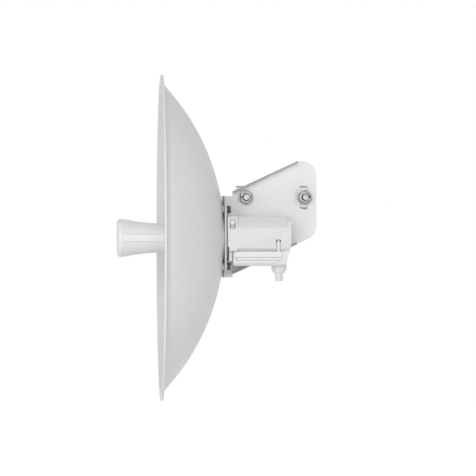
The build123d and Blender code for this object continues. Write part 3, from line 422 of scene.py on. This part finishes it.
def taper_latch(bm):
    """Widens the latch's hinged end and lengthens its free end, within its window."""
    low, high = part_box("release_latch")
    middle = (low.x + high.x) / 2
    for vertex in bm.verts:
        if vertex.co.z > high.z - MERGE:
            vertex.co.x = middle + (vertex.co.x - middle) * LATCH_TOP_WIDER
        elif vertex.co.z < low.z + MERGE:
            vertex.co.z -= LATCH_LONGER * MM


def soft_pieces(materials):
    pieces = {}
    for node, width in SOFT_EDGES.items():
        bm = cad_copy(node)
        if node == "release_latch":
            taper_latch(bm)
        soften(bm, width)
        pieces[node] = place(node + "_soft", bm, node, materials[SLOT_OF[node]])
        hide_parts(node)
    return pieces


def finish_faces(piece, material, wanted):
    """Gives another finish to the faces that wanted(centre, normal) picks."""
    piece.data.materials.append(material)
    last = len(piece.data.materials) - 1
    for polygon in piece.data.polygons:
        if wanted(polygon.center, polygon.normal):
            polygon.material_index = last


def bridge_rows(bm, rows, closed=True):
    """Faces between neighbouring rows of vertices; a row of one vertex is a pole."""
    for low, high in zip(rows, rows[1:]):
        count = max(len(low), len(high))
        for i in range(count if closed else count - 1):
            j = (i + 1) % count
            loop = [low[i % len(low)], low[j % len(low)], high[j % len(high)], high[i % len(high)]]
            bm.faces.new(list(dict.fromkeys(loop)))


# ---- Dish ----

RIM_FRONT = DISH_LOW[0]
RIM_HALF = (140.0, 183.0)  # y and z
RIM_WIDTH = 9.4  # outside the bowl's mouth
RIM_SHEET = 2.6
RIM_ROUND = 1.1  # how far the round edge bulges
RIM_FLAT_END = RIM_WIDTH - RIM_ROUND - 1.0
# (distance outside the mouth, x behind the rim's front or back): the front's inner edge, and
# the start, corner and end of the concave foot on the back
RIM_INNER_EDGE = ((-1.3, 1.35), (-0.5, 0.7), (0.4, 0.25), (1.4, 0.0))
RIM_FOOT = ((4.2, 0.0), (-1.0, 0.0), (-5.2, 4.3))
RIM_EDGE_STEPS = 8
RIM_FOOT_STEPS = 7
MOUTH = RIM_HALF[1] - RIM_WIDTH  # height of the bowl inside its rim, from the dish's axis
MOUTH_Y = RIM_HALF[0] - RIM_WIDTH
SIDE_SHARE = MOUTH_Y / MOUTH
DEPTH = 70.6
SHEET = 1.2
BOWL_R = (MOUTH**2 + DEPTH**2) / (2 * DEPTH)
BOWL_X = RIM_FRONT + DEPTH - BOWL_R  # centre of the bowl's arc
SEAT_X = DISH_HIGH[0]
SEAT_R = 29.5
SEAT_FADE = (SEAT_R - 1.2, SEAT_R + 2.2)  # radii over which the flat seat turns into the bowl
SEAT_END = SEAT_R + 2.0
HOLE_R = 23.3
PADS = [(y, z) for y in (-16.0, 16.0) for z in (-31.8, 31.8)]  # round the four screws
PAD_X = -65.1
PAD_FADE = (5.9, 8.4)
BOSS_X = -60.85
BOSS_FADE = (3.9, 5.6)
FADE_DEPTH = 4.0  # how far along X a flat place fades
OVAL_FROM = 110.0  # rings are as oval as the mouth from this height out
DISH_STEPS = 288
FINE_ROWS = 30  # next to the hole, for the seat and the pads
FINE_STEP = 0.75
FIRST_ROW = 0.4  # outside the hole's edge
COARSE_ROWS = 34
LAST_ROW = 2.2  # inside the mouth
BACK_LAST_ROW = 6.0  # the same on the dish's back


def ease(value, low, high):
    """0 below low, 1 above high, smooth between."""
    t = min(max((value - low) / (high - low), 0.0), 1.0)
    return t * t * (3 - 2 * t)


def bowl_x(y, z, gain):
    """The bowl's arc, gain outside its inner face. Places y and z are from the dish's axis."""
    return BOWL_X + math.sqrt((BOWL_R + gain) ** 2 - (y / SIDE_SHARE) ** 2 - z**2)


def front_x(y, z):
    """The bowl's inside, with a raised flat pad round each screw."""
    x = bowl_x(y, z, 0)
    for py, pz in PADS:
        away = ease(math.hypot(y - py, z - pz), *PAD_FADE)
        x = min(x, PAD_X + (x + FADE_DEPTH - PAD_X) * away)
    return x


def back_x(y, z):
    """The bowl's outside, with its flat seat and the bosses behind the screw pads."""
    x = bowl_x(y, z, SHEET)
    r = math.hypot(y, z)
    if r < SEAT_END:
        x = max(min(x, SEAT_X), SEAT_X - FADE_DEPTH * ease(r, *SEAT_FADE))
    for py, pz in PADS:
        away = math.hypot(y - py, z - pz)
        if away < BOSS_FADE[1]:
            x = max(x, BOSS_X - FADE_DEPTH * ease(away, *BOSS_FADE))
    return x


def dish_radii():
    """Heights at which the bowl is sampled, from its hole to its rim."""
    near = [HOLE_R + FIRST_ROW + FINE_STEP * i for i in range(FINE_ROWS)]
    span = MOUTH - LAST_ROW - near[-1]
    return near + [near[-1] + span * i / COARSE_ROWS for i in range(1, COARSE_ROWS + 1)]


def dish_ring(bm, radius, surface):
    """A ring that is round at the hole and oval towards the rim."""
    share = 1 + (SIDE_SHARE - 1) * ease(radius, SEAT_R, OVAL_FROM)
    ring = []
    for i in range(DISH_STEPS):
        turn = 2 * math.pi * i / DISH_STEPS
        y, z = radius * share * math.sin(turn), radius * math.cos(turn)
        ring.append(bm.verts.new(Vector((surface(y, z), AXIS_Y + y, AXIS_Z + z)) * MM))
    return ring


def rim_ring(bm, out, x):
    """A ring at a distance out from the bowl's mouth; inside it, out is negative."""
    half_y = MOUTH_Y + (RIM_HALF[0] - MOUTH_Y) * out / RIM_WIDTH
    ring = []
    for i in range(DISH_STEPS):
        turn = 2 * math.pi * i / DISH_STEPS
        point = (x, AXIS_Y + half_y * math.sin(turn), AXIS_Z + (MOUTH + out) * math.cos(turn))
        ring.append(bm.verts.new(Vector(point) * MM))
    return ring


def rim_profile():
    """(distance outside the mouth, x) points: front face, round edge, back, concave foot."""
    front, back = RIM_FRONT, RIM_FRONT + RIM_SHEET
    points = [(out, front + behind) for out, behind in RIM_INNER_EDGE]
    points.append((RIM_FLAT_END, front))
    for i in range(RIM_EDGE_STEPS + 1):
        turn = math.pi * i / RIM_EDGE_STEPS
        side = RIM_ROUND * math.sin(turn)
        x = front + RIM_SHEET / 2 - (RIM_SHEET / 2) * math.cos(turn)
        points.append((RIM_WIDTH - RIM_ROUND + side, x))
    for i in range(RIM_FOOT_STEPS + 1):
        t = i / RIM_FOOT_STEPS
        shares = ((1 - t) ** 2, 2 * t * (1 - t), t * t)
        out = sum(share * point[0] for share, point in zip(shares, RIM_FOOT))
        x = sum(share * (back + point[1]) for share, point in zip(shares, RIM_FOOT))
        points.append((out, x))
    return points


def make_dish(materials):
    bm = bmesh.new()
    radii = dish_radii()
    rows = [dish_ring(bm, HOLE_R, lambda y, z: (front_x(y, z) + back_x(y, z)) / 2)]
    rows += [dish_ring(bm, r, front_x) for r in radii]
    rows += [rim_ring(bm, out, x) for out, x in rim_profile()]
    rows += [dish_ring(bm, r, back_x) for r in reversed(radii) if r < MOUTH - BACK_LAST_ROW]
    bridge_rows(bm, rows + rows[:1])
    dish = place("dish_shell", bm, "dish_reflector", materials["dish_paint"])
    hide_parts("dish_reflector")


# ---- Feed horn ----

HORN_FRONT = HORN_LOW[0]  # seam with the end cap
HORN_REAR = -77.0  # the collar's CAD shape starts here
HORN_R = 16.0
HORN_TIP_R = 21.4
FLARE_START = -122.0
HORN_STEP = 0.8  # between two rows
HORN_WALL = 1.9
# Heights of the rows' columns on the near side, closest where the rib's edge is steep
RIB_COLUMNS = [0.0, 1.5, 3.0, 3.55, 3.8, 3.95, 4.15, 4.5, 5.1, 5.7, 6.3, 7.0, 8.0]
RIB_HALF = 3.95
RIB_PROUD = 0.95
RIB_EDGE = (RIB_HALF - 0.3, RIB_HALF + 0.2)  # heights over which its side falls
RIB_START = HORN_FRONT + 0.1
RIB_RISE = 1.0  # length of its sloped front end
RIB_SLANT = 1.9  # the rib's top corner starts this much further back than its bottom one
GROOVE_BELOW = 0.55  # depths of the grooves below and above the rib
GROOVE_ABOVE = 0.2
GROOVE_EDGE = (RIB_HALF + 0.1, RIB_HALF + 0.7)  # heights over which a groove deepens
GROOVE_FADE = (5.7, 7.0)  # heights over which it ends
BELOW_START = (-168.6, -166.6)  # x over which each groove begins
ABOVE_START = (HORN_FRONT + 0.5, HORN_FRONT + 3.0)
DIMPLE = (-166.4, -4.9)  # x and z
DIMPLE_DEPTH = 0.8
DIMPLE_SPREAD = 2.2  # square of its half length
DIMPLE_FLATTER = 2.0  # the dimple is lower than it is long
ROUND_STEPS = 120
PAD_TOP = 20.7  # from the horn's axis
PAD_HALF = 6.5
PAD_SIDE = 1.0  # width of its sloped sides
PAD_END = -165.4
PAD_SLOPE = 0.5
TOP_SINE = 0.5  # the pad is only where the horn's surface is this steeply above its axis


def horn_r(x):
    rise, run = HORN_TIP_R - HORN_R, FLARE_START - HORN_FRONT
    radius = (run**2 + rise**2) / (2 * rise)
    return HORN_R + radius - math.sqrt(radius**2 - min(x - FLARE_START, 0) ** 2)


def relief(x, z):
    """Height of the near side's rib and grooves over the plain horn, at a height z."""
    start = RIB_START + RIB_SLANT * ease(z, -RIB_HALF, RIB_HALF)
    rib = ease(x, start, start + RIB_RISE) * (1 - ease(abs(z), *RIB_EDGE))
    side = ease(abs(z), *GROOVE_EDGE) * (1 - ease(abs(z), *GROOVE_FADE))
    if z < 0:
        depth = GROOVE_BELOW * ease(x, *BELOW_START)
    else:
        depth = GROOVE_ABOVE * ease(x, *ABOVE_START)
    dx, dz = x - DIMPLE[0], z - DIMPLE[1]
    dimple = DIMPLE_DEPTH * math.exp(-(dx * dx + DIMPLE_FLATTER * dz * dz) / DIMPLE_SPREAD)
    return RIB_PROUD * rib - depth * side - dimple


def on_top(x, turn, radius):
    """Height of the small flat pad on the top of the horn, behind its front cap."""
    if math.sin(turn) < TOP_SINE:
        return 0.0
    level = PAD_TOP / math.sin(turn) - radius
    across = 1 - ease(abs(radius * math.cos(turn)), PAD_HALF, PAD_HALF + PAD_SIDE)
    return max(level, 0.0) * across * (1 - ease(x, PAD_END - PAD_SLOPE, PAD_END))


def horn_row(bm, x, gain=0.0, plain=False):
    """A ring whose columns near the camera's side keep their height, for the rib's edges."""
    r = horn_r(x)
    heights = [-z for z in reversed(RIB_COLUMNS[1:])] + RIB_COLUMNS
    turns = [(math.asin(z / r), z) for z in heights]
    first, last = turns[0][0], turns[-1][0]
    gap = 2 * math.pi - (last - first)
    turns += [(last + gap * i / ROUND_STEPS, None) for i in range(1, ROUND_STEPS)]
    row = []
    for turn, z in turns:
        if plain:
            height = 0.0
        elif z is None:
            height = on_top(x, turn, r)
        else:
            height = relief(x, z)
        reach = r + gain + height
        point = (x, AXIS_Y - reach * math.cos(turn), AXIS_Z + reach * math.sin(turn))
        row.append(bm.verts.new(Vector(point) * MM))
    return row


def make_horn(materials):
    """The horn's long tube in fine rows, and the CAD shape of its collar and front flange."""
    bm = cad_copy("feed_radome")
    soften(bm, HORN_SOFT)
    every = bm.verts[:] + bm.edges[:] + bm.faces[:]
    cut = bmesh.ops.bisect_plane(bm, geom=every, dist=SNAP, plane_co=(HORN_REAR * MM, 0, 0),
                                 plane_no=(1, 0, 0), clear_inner=True)
    edges = [e for e in cut["geom_cut"] if isinstance(e, bmesh.types.BMEdge)]
    bmesh.ops.triangle_fill(bm, use_beauty=True, edges=edges)
    count = round((HORN_REAR - HORN_FRONT) / HORN_STEP)
    places = [HORN_FRONT + (HORN_REAR - HORN_FRONT) * i / count for i in range(count + 1)]
    outer = [horn_row(bm, x) for x in places]
    inner = [horn_row(bm, x, -HORN_WALL, True) for x in reversed(places)]
    bridge_rows(bm, outer + inner + outer[:1])
    horn = place("feed_horn", bm, "feed_radome", materials["feed_plastic"])
    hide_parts("feed_radome")
    finish_faces(horn, materials["rib_painted_light"], on_the_rib)
    finish_faces(horn, materials["white_plastic"], front_flange)


# ---- Bolts ----

SHANK_R = 4.0
PITCH = 1.25
THREAD_DEPTH = 0.62
THREAD_LENGTH = 26.0
THREAD_RUN_OUT = 2.0
END_R = 3.1  # of the chamfered end
TURN_STEPS = 48
ROWS_PER_TURN = 8
HEAD_H = 4.6
HEAD_RIM = 1.0
HEAD_EDGE = 0.3
DOME_STEPS = 9
NECK_HALF = 3.95
NECK_LENGTH = 5.6
NECK_SUNK = 0.5  # into the head


def thread_r(along, turn):
    """Radius of a coarse screw thread at a distance along from the bolt's end."""
    phase = (along / PITCH + turn / (2 * math.pi)) % 1.0
    whole = 1 - ease(along, THREAD_LENGTH - THREAD_RUN_OUT, THREAD_LENGTH)
    return min(SHANK_R - THREAD_DEPTH * (1 - abs(2 * phase - 1)) * whole, END_R + along)


def make_bolt(node, materials):
    """A carriage bolt: threaded end towards -Y, square neck, low domed head."""
    low, high = (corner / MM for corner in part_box(node))
    x, z, head_r = (low.x + high.x) / 2, (low.z + high.z) / 2, (high.x - low.x) / 2
    seat = high.y - HEAD_H
    bm = bmesh.new()

    def ring(y, radius):
        """A ring round the bolt's axis, where radius is a number or a function of the turn."""
        row = []
        for i in range(TURN_STEPS):
            t = 2 * math.pi * i / TURN_STEPS
            r = radius(t) if callable(radius) else radius
            row.append(bm.verts.new(Vector((x + r * math.cos(t), y, z + r * math.sin(t))) * MM))
        return row

    rows = [[bm.verts.new(Vector((x, low.y, z)) * MM)]]
    steps = round(THREAD_LENGTH / PITCH * ROWS_PER_TURN)
    for i in range(steps + 1):
        along = THREAD_LENGTH * i / steps
        rows.append(ring(low.y + along, lambda t: thread_r(along, t)))
    rows += [ring(seat, SHANK_R), ring(seat, head_r - HEAD_EDGE), ring(seat + HEAD_EDGE, head_r)]
    for i in range(DOME_STEPS):
        turn = math.pi / 2 * i / DOME_STEPS
        y = seat + HEAD_RIM + (HEAD_H - HEAD_RIM) * math.sin(turn)
        rows.append(ring(y, head_r * math.cos(turn)))
    rows.append([bm.verts.new(Vector((x, high.y, z)) * MM)])
    bridge_rows(bm, rows)
    neck = bmesh.ops.create_cube(bm, size=1)["verts"]
    size = Vector((2 * NECK_HALF, NECK_LENGTH, 2 * NECK_HALF)) * MM
    bmesh.ops.scale(bm, verts=neck, vec=size)
    bmesh.ops.translate(bm, verts=neck, vec=Vector((x, seat - NECK_LENGTH / 2 + NECK_SUNK, z)) * MM)
    bolt = place(node + "_threaded", bm, node, materials["bolt_zinc"])
    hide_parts(node)


# ---- Elevation scale ----

SCALE_X, _, SCALE_Z = middle_mm("pivot_bolt")  # the scale's arc is round the pivot
SCALE_STEP = 5.0  # degrees between numbers
SCALE_LABELS = ("5", "0", "5")
DIGIT_RADIUS = 55.6
DIGIT_H = 2.4
TYPE_SIZE = 1.4  # a font's size for each unit of a digit's height
DIGIT_PROUD = 0.12
DIGIT_CURVE_STEPS = 3


def make_digits(materials):
    """Plain raised numbers beside the scale's long marks."""
    bm = bmesh.new()
    for i, label in enumerate(SCALE_LABELS):
        curve = bpy.data.curves.new("digit", "FONT")
        curve.body = label
        curve.size = DIGIT_H * MM * TYPE_SIZE
        curve.extrude = DIGIT_PROUD * MM
        curve.align_x, curve.align_y = "CENTER", "CENTER"
        curve.resolution_u = DIGIT_CURVE_STEPS
        text = bpy.data.objects.new("digit", curve)
        mesh = bpy.data.meshes.new_from_object(text)
        angle = math.radians((i - len(SCALE_LABELS) // 2) * SCALE_STEP)
        x = SCALE_X + DIGIT_RADIUS * math.cos(angle)
        z = SCALE_Z + DIGIT_RADIUS * math.sin(angle)
        turned = Matrix.Rotation(-angle, 4, "Y") @ Matrix.Rotation(math.pi / 2, 4, "X")
        mesh.transform(Matrix.Translation(Vector((x, WING_Y, z)) * MM) @ turned)
        bm.from_mesh(mesh)
        bpy.data.objects.remove(text)
        bpy.data.curves.remove(curve)
        bpy.data.meshes.remove(mesh)
    bmesh.ops.remove_doubles(bm, verts=bm.verts, dist=MERGE)
    place("elevation_digits", bm, "mounting_bracket", materials["bracket_paint"])


# ---- Finishes of single faces ----

STRAIGHT = 0.9  # share of a normal along an axis, for a face that looks straight that way
FACING = 0.7  # the same for a face that looks roughly that way
ASKEW = 0.05  # the same for a face that looks that way at all
ACROSS = 0.5  # a face with less than this along an axis looks to its sides
FLANGE_DEPTH = 10.5  # from the wing's face to the flanges' edges
FLANGE_REACH = 0.4  # how near a face's centre has to be
PLATE_REACH = 0.3
EDGE_MARGIN = 0.1
RIB_FACE_START = HORN_FRONT + 1.0
HORN_FLANGE_X = PLATE_REAR_X - 0.5  # the horn's front flange is behind this
# Ranges of x, y and z, from the back of the base plate and the dish's axis
KEEPER_BOX = ((0.1, 10.3), (-8.3, 8.3), (25.2, 27.6))
# Ranges of x, the distance to the side and z, from the snap fingers and the dish's axis
FINGER_X = -0.6
POCKET_BOX = ((-2.7, 2.7), (21.4, 23.6), (-4.3, -1.8))
JAW_BEND_DEPTH = 3.1  # the web and its bends are within this of the jaw's near side
JAW_BRIGHT = 11.4  # half the height of the jaw's bright web


def inside(point, ranges):
    return all(low < value < high for value, (low, high) in zip(point, ranges))


def cut_edges(centre, normal):
    """The sheared edges of the bracket's two flanges."""
    return normal.y < -FACING and abs(centre.y / MM - (WING_Y - FLANGE_DEPTH)) < FLANGE_REACH


def plate_front(centre, normal):
    """The side of the base plate that faces the dish, darkened with painted shade."""
    return normal.x < -FACING and abs(centre.x / MM - PLATE_FRONT_X) < PLATE_REACH


def plate_edge(centre, normal):
    """The base plate's edge, all round, greyed with painted shade."""
    within = PLATE_FRONT_X + EDGE_MARGIN < centre.x / MM < PLATE_REAR_X - EDGE_MARGIN
    return within and abs(normal.x) < ACROSS


def keeper_ledge(centre, normal):
    """The bent tab over the radio's front flange, brightened with painted light."""
    return inside(centre / MM - Vector((PLATE_REAR_X, AXIS_Y, AXIS_Z)), KEEPER_BOX)


def on_the_rib(centre, normal):
    """The raised rib's flat face, brightened with painted light."""
    x, z = centre.x / MM, centre.z / MM - AXIS_Z
    along = RIB_FACE_START < x < HORN_REAR
    return along and abs(z) < RIB_HALF - EDGE_MARGIN and normal.y < -STRAIGHT


def front_flange(centre, normal):
    """The part of the horn's piece that sits against the housing."""
    return centre.x / MM > HORN_FLANGE_X


def pocket_insides(centre, normal):
    """The inside of the housing's pockets beside the snap fingers' ends, blackened with painted
    shade.
    """
    x, y, z = centre / MM - Vector((FINGER_X, AXIS_Y, AXIS_Z))
    return inside((x, abs(y), z), POCKET_BOX)


def jaw_bends(centre, normal):
    """The bends above and below the near jaw's bright web, darkened with painted shade."""
    outer = centre.y / MM < JAW_LOW[1] + JAW_BEND_DEPTH and normal.y < -ASKEW
    return outer and abs(centre.z / MM) > JAW_BRIGHT


def make_pieces(materials):
    pieces = soft_pieces(materials)
    make_dish(materials)
    make_horn(materials)
    for node in ("pivot_bolt", "elevation_bolt"):
        make_bolt(node, materials)
    make_digits(materials)
    finish_faces(pieces["mounting_bracket"], materials["cut_edge"], cut_edges)
    finish_faces(pieces["mounting_bracket"], materials["plate_painted_shade"], plate_front)
    finish_faces(pieces["mounting_bracket"], materials["plate_edge_painted_shade"], plate_edge)
    finish_faces(pieces["mounting_bracket"], materials["ledge_painted_light"], keeper_ledge)
    finish_faces(pieces["near_jaw"], materials["bend_painted_shade"], jaw_bends)
    finish_faces(pieces["housing_shell"], materials["black_plastic"], pocket_insides)
    pieces["dish_nuts"].data.materials[0] = materials["dark_zinc"]
    for node in ("pivot_nut", "elevation_nut", "clamp_washers", "clamp_spring_washers"):
        pieces[node].data.materials[0] = materials["nut_zinc"]
    pieces["feed_end_cap"].data.materials[0] = materials["feed_plastic"]
    pieces["port_cover"].data.materials[0] = materials["cover_plastic"]


make_camera()
make_lights()
make_world()
make_floor()
finishes = make_materials()
dress(frame["nodes"], finishes)
make_pieces(finishes)
bpy.context.scene.view_settings.view_transform = "Standard"
